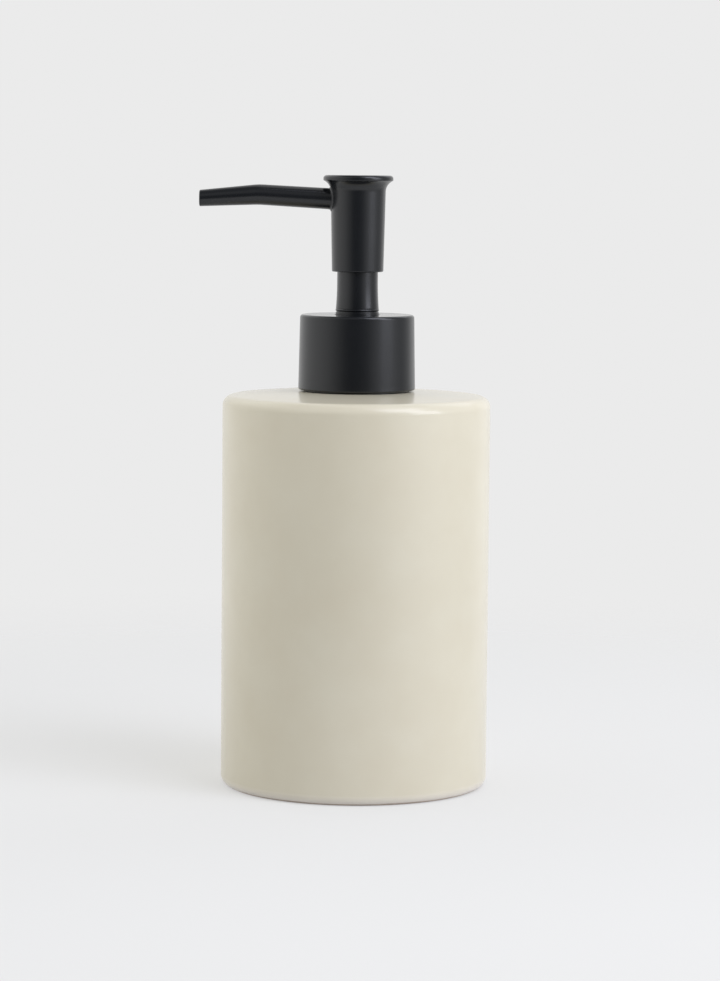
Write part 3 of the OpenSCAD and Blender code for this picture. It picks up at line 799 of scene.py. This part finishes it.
def guide_outline():
    """Closed outline of the guide, with its bead, groove and spreading side."""
    bead_r = GUIDE_TOP_R + GUIDE_FLARE + GUIDE_BEAD
    foot_r = bead_r - BEAD_PROUD
    low = outline([
        (PLUG_BORE, guide.low, 0.15), (PLUG_R, guide.low, 0.3), (PLUG_R, deck, 0.1),
        (guide.r, deck, 0.15), (guide.r, flange_z, 0.2),
        (foot_r, flange_z, 0.1), (foot_r, bead_low - GROOVE_W, 0.08),
        (foot_r - GROOVE_DEPTH, bead_low - GROOVE_W), (foot_r - GROOVE_DEPTH, bead_low),
    ], closed=False)
    half = BEAD_H / 2
    bead = arc(bead_r - half, bead_low + half, half, -math.pi / 2, math.radians(50), 14)
    t = np.linspace(0, 1, 20)
    side = np.stack([
        GUIDE_TOP_R + GUIDE_FLARE * (1 - t) ** 2, bead_low + BEAD_H + 0.02 + SPREAD_H * t
    ], axis=1)
    high = outline([
        side[-1], (GUIDE_TOP_R, guide.high, 0.4), (TUBE_BORE, guide.high, 0.3),
        (TUBE_BORE, flange_z + CONE_TOP, 0.3), (STEM_HOLE, flange_z + WEB_TOP, 0.3),
        (STEM_HOLE, deck - WEB_DROP, 0.2), (PLUG_BORE, deck - WEB_DROP, 0.4),
        (PLUG_BORE, guide.low + 1),
    ], closed=False)[1:]
    return np.concatenate([low, bead, side, high])


piece("guide", [turned(guide_outline(), around=256)], black_shell)

# %% [markdown]
# ## The inlet valve and the dip tube
# A steel ball sits in a cone and a small cage keeps it there. When the piston rises the
# ball lifts and soap comes up the tube. The tube is cut at a slant, so that it can't seal
# itself on the floor of the bottle: the points of its lower edge are shifted up in
# proportion to their distance from one side.

# %% The ball, its cage and the dip tube
cage = SIZE["ball_cage"]
CAGE_BORE = 2.6
BAR_T, BAR_BITE = 0.9, 0.2
piece("ball_cage", [
    turned(outline([
        (CAGE_BORE, cage.low, 0.1), (cage.r, cage.low, 0.1), (cage.r, cage.high, 0.1),
        (CAGE_BORE, cage.high, 0.15),
    ]), around=96),
    *cross(CAGE_BORE + BAR_BITE, BAR_T / 2, cage.low + 0.01, cage.low + BAR_T),
], natural_plastic)

polar = np.linspace(-math.pi / 2, math.pi / 2, 41)
piece("inlet_ball", [turned(np.stack([
    ball.r * np.cos(polar), ball.low + ball.r + ball.r * np.sin(polar)
], axis=1), join=False, around=96)], ball_steel)

tube = SIZE["dip_tube"]
TUBE_T = 0.9
SLANT = math.tan(math.radians(30))


def slanted_tube():
    """Tube whose lower rim is shifted up by slant * (radius - x)."""
    grid = turned_grid(outline([
        (tube.r - TUBE_T, tube.low, 0.12), (tube.r, tube.low, 0.12),
        (tube.r, tube.high, 0.1), (tube.r - TUBE_T, tube.high, 0.1),
    ]), around=96)
    rim = grid[..., 2] < tube.low + 1
    grid[..., 2] += np.where(rim, SLANT * (tube.r - grid[..., 0]), 0)
    return faces_of(grid, join=True)


piece("dip_tube", [slanted_tube()], tube_plastic)

# %% [markdown]
# ## The spring
# The coil is a small circle carried along a helix. Its first and last turns lie almost flat and
# the turns between share the rest of the height, as on a ground compression spring. It shortens
# as the head goes down.

# %% The spring
coil = SIZE["spring"]
WIRE = 0.8
TURNS = 8
COIL_GAP = 0.05


def coil_grid(steps_a_turn=48, sides=14):
    """Circle of the wire's radius carried along r = mean, z = height(turns).

    The height's corners are softened by the mean over a third of a turn.
    """
    mean = coil.r - WIRE / 2
    turn = np.linspace(0, TURNS, steps_a_turn * TURNS + 1)
    closed, rise = WIRE + COIL_GAP, coil.high - coil.low - WIRE
    height = np.interp(turn, [0, 1, TURNS - 1, TURNS], [0, closed, rise - closed, rise])
    soften = steps_a_turn // 6
    window = np.ones(2 * soften + 1) / (2 * soften + 1)
    height = np.convolve(np.pad(height, soften, mode="edge"), window, mode="valid")
    angle = 2 * math.pi * turn[:, None]
    b = full_turn(sides)
    angle = np.pad(angle, ((1, 1), (0, 0)), mode="edge")
    height = np.pad(height, 1, mode="edge")[:, None]
    taper = np.ones(height.shape)
    taper[[0, -1]] = 0
    r = mean + WIRE / 2 * np.cos(b) * taper
    z = coil.low + WIRE / 2 + height + WIRE / 2 * np.sin(b) * taper
    return about_z(r, angle, z)


spring = piece("spring", [faces_of(coil_grid())], spring_steel)
press = next(joint for joint in frame["joints"] if joint["name"] == "head_press")
STROKE = press["range_m"][1] / MM
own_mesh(spring)

# %% [markdown]
# ## The plunger
# Pressing the head first slides the stem through the piston, which opens the notches in
# the stem's foot, and then pushes the piston down. The core joins the stem from below
# with a cross-shaped pin, so soap can pass beside it, and centres the spring.

# %% The core
core = SIZE["plunger_core"]
piston = SIZE["piston"]
SEAT_T = 1.5
SEAT_BEVEL = 0.5
POST_LOW_R, POST_HIGH_R = 2.2, 2.6
PIN_R, PIN_T, PIN_SUNK = 1.8, 1.2, 0.7
SEAL_GAP = 0.05
seat_top = piston.low - SEAL_GAP
core_outline = outline([
    (0, core.low), (POST_LOW_R, core.low, 0.3), (POST_HIGH_R, seat_top - SEAT_T, 0.1),
    (core.r, seat_top - SEAT_T, 0.2), (core.r, seat_top - SEAT_BEVEL, 0.2),
    (core.r - SEAT_BEVEL, seat_top, 0.2), (0, seat_top),
], closed=False)
piece("plunger_core", [
    turned(core_outline, join=False, around=128),
    *cross(PIN_R, PIN_T / 2, seat_top - PIN_SUNK, core.high),
], natural_plastic)

# %% The piston
PISTON_BORE = 3.45
PISTON_TUBE = 4.1
PISTON_BACK = 5.75
LIP_T = 0.55
LIP_EDGE_T = 0.35
LIP_EDGE_H = 0.5
LOW_LIP_LIFT, HIGH_LIP_DROP = 0.2, 0.8
WEB_HALF = 0.5
middle = (piston.low + piston.high) / 2
web_low, web_high = middle - WEB_HALF, middle + WEB_HALF
lip_inside, lip_edge = PISTON_BACK - LIP_T, piston.r - LIP_EDGE_T
low_lip, high_lip = piston.low + LOW_LIP_LIFT, piston.high - HIGH_LIP_DROP
piece("piston", [turned(outline([
    (PISTON_BORE, piston.low, 0.1), (PISTON_TUBE, piston.low, 0.3), (PISTON_TUBE, web_low, 0.2),
    (lip_inside, web_low, 0.2), (lip_edge, low_lip, 0.1),
    (piston.r, low_lip, 0.1), (piston.r, low_lip + LIP_EDGE_H, 0.1),
    (PISTON_BACK, web_low, 0.1), (PISTON_BACK, web_high, 0.1),
    (piston.r, high_lip - LIP_EDGE_H, 0.1), (piston.r, high_lip, 0.1),
    (lip_edge, high_lip, 0.1), (lip_inside, web_high, 0.2),
    (PISTON_TUBE, web_high, 0.2), (PISTON_TUBE, piston.high, 0.1),
    (PISTON_BORE, piston.high, 0.1),
]), around=128)], piston_plastic)

# %% The stem
stem = SIZE["stem"]
STEM_R = 2.9
STEM_LOW_R = 3.4
STEM_BORE = 1.9
SHOULDER_DROP = 1.5
SHOULDER_T, SHOULDER_CONE = 1.2, 0.8
NOTCH_W, NOTCH_H = 1.6, 1.5
shoulder_top = deck - SHOULDER_DROP
shoulder_low = shoulder_top - SHOULDER_T
stem_surface = piece("stem", [turned(outline([
    (STEM_BORE, stem.low, 0.15), (STEM_LOW_R, stem.low, 0.15),
    (STEM_LOW_R, shoulder_low - SHOULDER_CONE, 0.4), (stem.r, shoulder_low, 0.2),
    (stem.r, shoulder_top, 0.2), (STEM_R, shoulder_top, 0.15), (STEM_R, stem.high, 0.4),
    (STEM_BORE, stem.high, 0.15),
]), around=128)], natural_plastic)
cut_away(stem_surface, [
    slab(-5, 5, NOTCH_W / 2, stem.low - 1, stem.low + NOTCH_H, turn) for turn in corner_turns[:2]
])

# %% [markdown]
# ## The head
# The head is one moulding: a sleeve that slides round the guide, a flared top for the
# finger and a slim spout. The sleeve widens a little upwards and sweeps out into the
# flared top in an arc that meets the small rounding of its edge. Inside it a socket
# holds the stem, and four ribs stand between the two. All of that except the ribs is one
# turned outline.

# %% The sleeve, the flared top and the socket
head = SIZE["pump_head"]
SLEEVE_BORE = 6.39
SLEEVE_T = 0.80
SLEEVE_SPREAD = 0.47
TOP_T = 1.3
FLARE_R = 3.4
EDGE_LOW = 0.25
EDGE_TOP = 0.9
LID_T = 1.75
SOCKET_BORE = 2.92
SOCKET_R = 4.07
SOCKET_DEPTH = 14.0
WELL_R, WELL_RISE = 1.9, 1.4
SPOUT_DROP = 7.0
BORE_R = 1.2
sleeve_low_r = SLEEVE_BORE + SLEEVE_T
sleeve_top_r = sleeve_low_r + SLEEVE_SPREAD
lip_low = head.high - TOP_T
flare_turn = math.acos(1 - (head.r - sleeve_top_r) / (FLARE_R + EDGE_LOW))
flare_z = lip_low - (FLARE_R + EDGE_LOW) * math.sin(flare_turn)
ceiling = head.high - LID_T
spout_z = head.high - SPOUT_DROP
socket_low = stem.high - SOCKET_DEPTH
well_top = spout_z + BORE_R + WELL_RISE


def head_outline():
    """Outer skin from the sleeve's foot to the top, then the inside from the axis back down.

    The turned surface joins its last point to its first along the sleeve's bore.
    """
    foot = outline([
        (SLEEVE_BORE, head.low + 1), (SLEEVE_BORE, head.low, 0.2), (sleeve_low_r, head.low, 0.35),
        (sleeve_top_r, flare_z),
    ], closed=False)
    flare = arc(sleeve_top_r + FLARE_R, flare_z, FLARE_R, math.pi, math.pi - flare_turn, 16)
    lip = arc(head.r - EDGE_LOW, lip_low, EDGE_LOW, -flare_turn, 0, 8)
    edge = outline([
        (head.r, lip_low), (head.r, head.high, EDGE_TOP), (0, head.high),
    ], closed=False)
    inside = outline([
        (0, well_top), (WELL_R, well_top, 0.2), (WELL_R, stem.high, 0.1),
        (SOCKET_BORE, stem.high, 0.1), (SOCKET_BORE, socket_low, 0.3),
        (SOCKET_R, socket_low, 0.3), (SOCKET_R, ceiling, 0.4),
        (SLEEVE_BORE, ceiling, 0.4), (SLEEVE_BORE, head.low + 1.2),
    ], closed=False)
    return np.concatenate([foot[1:-1], flare, lip[1:], edge[1:], inside[:-1]])


skin = head_outline()

# %% [markdown]
# ## The spout
# The spout is round in section and tapers from the sleeve to its tip, with a slight bend
# on the way. Its rings stand upright along X. The middle line is two straight lines
# joined by a parabola, and the radius follows the same way. Where it meets the sleeve a
# fillet spreads it: each point of the fillet is placed from the sleeve's own radius at
# its height, so the spout leaves the curved wall smoothly all round. At the tip the
# outline turns in round a rounded edge and runs back as the bore.

# %% The spout's middle line, radius and fillet
BEND_X = -27.8
BEND_RISE = 1.45
TIP_FALL = 1.15
ROOT_R, BEND_R, TIP_R = 3.0, 2.85, 2.28
BEND_HALF = 1.5
TIP_ROUND = 0.35
BORE_END = -3.0
FILLET = 0.55
FILLET_LEAD = 0.35


def bent(x, at_axis, at_bend, at_tip):
    """A value that is linear from axis to bend and from bend to tip, with a soft corner.

    Within half a width w of the corner the excess slope grows linearly, so the value is
    the first line plus the change of slope times (t + w)^2 / 4w.
    """
    slope_in = (at_bend - at_axis) / BEND_X
    slope_out = (at_tip - at_bend) / (head.left - BEND_X)
    t = BEND_X - x
    ramp = np.where(t > BEND_HALF, t, np.clip(t + BEND_HALF, 0, None) ** 2 / (4 * BEND_HALF))
    return at_bend + slope_in * (x - BEND_X) - (slope_out - slope_in) * ramp


def middle_z(x):
    """Height of the spout's middle line at x."""
    return bent(x, spout_z, spout_z + BEND_RISE, spout_z + BEND_RISE - TIP_FALL)


def spout_radius(x):
    """Radius of the spout at x."""
    return bent(x, ROOT_R, BEND_R, TIP_R)


def wall_radius(z):
    """Outer radius of the sleeve and its flare at height z."""
    side = skin[(skin[:, 1] > head.low + 0.4) & (skin[:, 1] < lip_low - 0.02)]
    side = side[side[:, 0] > sleeve_low_r - 0.1]
    side = side[np.argsort(side[:, 1])]
    return np.interp(z, side[:, 1], side[:, 0])


def spout_grid(around=96):
    """Fillet, tapered outside, rounded tip and bore, as rings round the middle line.

    The first rings close the root inside the sleeve's wall, and the last ones the bore.
    """
    angle = full_turn(around)
    off = FILLET * (1 - np.cos(np.radians(np.linspace(0, 90, 13))))[:, None]
    root_r, root_z = spout_radius(-sleeve_top_r), middle_z(-sleeve_top_r)
    ring = root_r + FILLET - np.sqrt(np.maximum(FILLET**2 - (FILLET - off) ** 2, 0))
    y = ring * np.sin(angle)
    z = root_z + ring * np.cos(angle)
    wall = wall_radius(z)
    fillet = np.stack([-np.sqrt(wall**2 - y**2) - off, y, z], axis=-1)
    sunk = fillet[:1] + np.array([0.5, 0, 0])
    pole = np.zeros_like(sunk) + np.array([-sleeve_top_r + 1, 0, root_z])
    tip = head.left
    outside_x = np.concatenate([
        np.linspace(-sleeve_top_r - FILLET - FILLET_LEAD, BEND_X + BEND_HALF, 14),
        np.linspace(BEND_X + BEND_HALF, BEND_X - BEND_HALF, 14)[1:],
        np.linspace(BEND_X - BEND_HALF, tip + TIP_ROUND, 10)[1:],
    ])
    end = outline([
        (tip + 2, float(spout_radius(tip + 2))), (tip, TIP_R, TIP_ROUND),
        (tip, BORE_R, 0.2), (tip + 2, BORE_R),
    ], closed=False)[1:-1]
    bore = np.array([[BORE_END, BORE_R], [BORE_END, 0]])
    path = np.concatenate([np.stack([outside_x, spout_radius(outside_x)], axis=1), end, bore])
    x, r = path[:, :1], path[:, 1:]
    rings = np.stack([x + 0 * angle, r * np.sin(angle), middle_z(x) + r * np.cos(angle)], axis=-1)
    return np.concatenate([pole, sunk, fillet, rings])


# %% The ribs and the finished head
RIB_GAP = 0.45
RIB_T = 0.9
RIB_BITE = 0.3
rib_low = guide.high + STROKE + RIB_GAP
ribs = [
    slab(SOCKET_R - RIB_BITE, SLEEVE_BORE + RIB_BITE, RIB_T / 2, rib_low, ceiling + 0.1, turn)
    for turn in corner_turns
]
piece("pump_head", [
    turned(skin, around=256), faces_of(spout_grid()), *ribs,
], black_shell)

# %% [markdown]
# ## The camera
# The dispenser is seen from a little above, through a long lens, as on a product shot.
# The camera stands in front, looks slightly down and is turned by half a degree about its
# own axis. The rotation order ZYX turns it about its own axis first and tips it after.

# %% The camera
DISTANCE = 940
HEIGHT = 173.5
OFFSET = 1.2
PITCH_DOWN = 5.5
ROLL = 0.5
FOCAL_LENGTH, SENSOR = 123.376, 36

lens = bpy.data.cameras.new("camera")
lens.sensor_width = SENSOR
lens.lens = FOCAL_LENGTH
lens.clip_start = 0.01
lens.clip_end = 50
camera = bpy.data.objects.new("camera", lens)
camera.location = (OFFSET * MM, -DISTANCE * MM, HEIGHT * MM)
camera.rotation_mode = "ZYX"
camera.rotation_euler = (math.radians(90 - PITCH_DOWN), 0, math.radians(ROLL))
scene.collection.objects.link(camera)
scene.camera = camera
print(f"lens {lens.lens:.1f} mm")

# %% [markdown]
# ## The studio
# The dispenser stands in a tent of soft light. The cloth is pale behind and at the left,
# dimmer at the right, and open in front, which gives the black plastic its dark middle.
# Softboxes at the front right model the round shapes and throw one soft shadow to the
# left, and a weak one behind lifts the right edge. The floor is lit near the dispenser
# and lets the backdrop show through further out, so that it has no edge and no horizon.
# Seen directly or in a reflection it is as bright as the backdrop and keeps the shadow,
# while the light it throws up at the bottle is that of a plain grey floor.

# %% The floor
BACKDROP = 0.83
FLOOR_R = 460
FADE_START, FADE_END = 180, 440
FLOOR_TONE = 0.6
SEEN_TONE = "#A8A8A6"
SEEN_GLOW = 0.463
FLOOR_GAP = 0.02


def sees_backdrop(tree, mirrored=1.0):
    """1 for camera and transmission rays, and the value mirrored for glossy ones."""
    path = add(tree, "LightPath")
    direct = add(
        tree, "Math",
        {0: path.outputs["Is Camera Ray"], 1: path.outputs["Is Transmission Ray"]},
        operation="MAXIMUM",
    )
    glossy = add(
        tree, "Math", {0: path.outputs["Is Glossy Ray"], 1: mirrored}, operation="MULTIPLY"
    )
    return add(tree, "Math", {0: direct, 1: glossy}, operation="MAXIMUM")


def studio_floor(tree):
    """Pale matt floor that fades with distance and lets the backdrop show through."""
    place = add(tree, "TexCoord").outputs["Object"]
    distance = add(tree, "VectorMath", {0: place}, operation="LENGTH").outputs["Value"]
    gone = add(
        tree, "MapRange",
        {"Value": distance, "From Min": FADE_START * MM, "From Max": FADE_END * MM},
        interpolation_type="SMOOTHSTEP",
    )
    lit = add(tree, "BsdfDiffuse", {"Color": (FLOOR_TONE,) * 3 + (1,)})
    shown = add(tree, "BsdfDiffuse", {"Color": linear(SEEN_TONE)})
    glow = add(tree, "Emission", {"Strength": SEEN_GLOW})
    pale = add(tree, "AddShader", {0: shown, 1: glow})
    near = add(tree, "MixShader", {0: sees_backdrop(tree), 1: lit, 2: pale})
    clear = add(tree, "BsdfTransparent")
    return add(tree, "MixShader", {0: gone, 1: near, 2: clear})


radii = np.linspace(0, FLOOR_R, 12)
flat = np.stack([radii, 0 * radii], axis=1)
floor = make_mesh("floor", [turned(flat, join=False, around=96)])
floor_finish = new_material("pale_studio_floor", studio_floor)
floor_finish.cycles.emission_sampling = "NONE"
floor.data.materials.append(floor_finish)
floor.location.z = -FLOOR_GAP * MM
print(f"floor: {FLOOR_R} mm, gone at {FADE_END} mm")

# %% The tent of light
LOW_RING = {
    -180: 0.83, -160: 0.9, -140: 1.0, -120: 1.05, -100: 1.1, -80: 1.11, -60: 0.92, -40: 0.51,
    -20: 0.1, 0: 0.06, 20: 0.18, 40: 0.69, 60: 0.87, 80: 0.83, 100: 0.5, 120: 0.66, 140: 1.0,
    160: 0.9, 180: 0.83,
}
MIDDLE_RING = {
    -180: 1.04, -140: 1.31, -100: 1.34, -60: 0.97, -20: 0.44, 20: 0.22, 60: 0.39, 100: 0.46,
    140: 0.72, 180: 1.04,
}
TENT_TOP = 0.21
TENT_FOOT = 0.98
TENT_SEAMS = np.radians([(-25, -12), (14, 30), (48, 64)])
BEHIND_FROM, BEHIND_TO = np.radians([140, 170])
RING_SCALE = 2


def ring(tree, share, levels):
    """Brightness round the horizon: linear between levels at given azimuths in degrees."""
    made = add(tree, "ValToRGB", {"Fac": share})
    stops = made.color_ramp.elements
    stops.remove(stops[1])
    for k, (degrees, level) in enumerate(levels.items()):
        place = (degrees + 180) / 360
        stop = stops[0] if k == 0 else stops.new(place)
        stop.position = place
        stop.color = (level / RING_SCALE,) * 3 + (1,)
    return add(tree, "Math", {0: made, 1: RING_SCALE}, operation="MULTIPLY")


def studio_world():
    """Light by direction: a pale foot, two rings of cloth and a dim top.

    Azimuth is atan2(x, -y), from the front towards the right, and elevation is asin(z).
    Each band fades into the next over a seam. The eye sees the plain backdrop instead,
    and so do reflections of what is straight behind.
    """
    world = bpy.data.worlds.new("studio_tent")
    world.use_nodes = True
    tree = world.node_tree
    tree.nodes.clear()
    direction = add(tree, "TexCoord").outputs["Generated"]
    along = add(tree, "SeparateXYZ", {0: direction})
    forward = add(tree, "Math", {0: along.outputs["Y"], 1: -1}, operation="MULTIPLY")
    azimuth = add(tree, "Math", {0: along.outputs["X"], 1: forward}, operation="ARCTAN2")
    elevation = add(tree, "Math", {0: along.outputs["Z"]}, operation="ARCSINE")
    round_share = add(
        tree, "MapRange", {"Value": azimuth, "From Min": -math.pi, "From Max": math.pi}
    )
    light = TENT_FOOT
    bands = [ring(tree, round_share, LOW_RING), ring(tree, round_share, MIDDLE_RING), TENT_TOP]
    for (start, end), band in zip(TENT_SEAMS, bands):
        share = add(tree, "MapRange", {"Value": elevation, "From Min": start, "From Max": end})
        light = add(tree, "Mix", {0: share, 2: light, 3: band}, data_type="FLOAT")
    aside = add(tree, "Math", {0: azimuth}, operation="ABSOLUTE")
    behind = add(
        tree, "MapRange", {"Value": aside, "From Min": BEHIND_FROM, "From Max": BEHIND_TO}
    )
    strength = add(
        tree, "Mix", {0: sees_backdrop(tree, behind), 2: light, 3: BACKDROP}, data_type="FLOAT"
    )
    tent = add(tree, "Background", {"Color": (1, 1, 1, 1), "Strength": strength})
    add(tree, "OutputWorld", {"Surface": tent})
    return world


scene.world = studio_world()
scene.view_settings.view_transform = "Standard"
print("world:", scene.world.name)

# %% Softboxes
LAMP_DISTANCE = 1.2
AIM_HEIGHT = 0.09
DAYLIGHT = (0.97, 1.0, 1.14)


def softbox(name, azimuth, elevation, radiance, side):
    """Square lamp that faces the dispenser; azimuth is from the front towards the right.

    Lengths are in metres. A flat lamp of area A and radiance L gives off pi * L * A
    watts. Daylight tubes make the softboxes a little cooler than the tent.
    """
    made = bpy.data.lights.new(name, "AREA")
    made.shape = "SQUARE"
    made.size = side
    made.energy = radiance * math.pi * side**2
    made.color = DAYLIGHT
    stand = bpy.data.objects.new(name, made)
    a, e = math.radians(azimuth), math.radians(elevation)
    reach = LAMP_DISTANCE * math.cos(e)
    stand.location = (
        reach * math.sin(a), -reach * math.cos(a), AIM_HEIGHT + LAMP_DISTANCE * math.sin(e)
    )
    stand.rotation_euler = (math.pi / 2 - e, 0, a)
    stand.visible_camera = False
    scene.collection.objects.link(stand)


softbox("low_softbox", 62, 18, 3.05, 0.6)
softbox("middle_softbox", 45, 42, 2.9, 0.7)
softbox("high_softbox", 60, 62, 1.0, 0.8)
softbox("back_softbox", 140, 42, 0.57, 0.6)
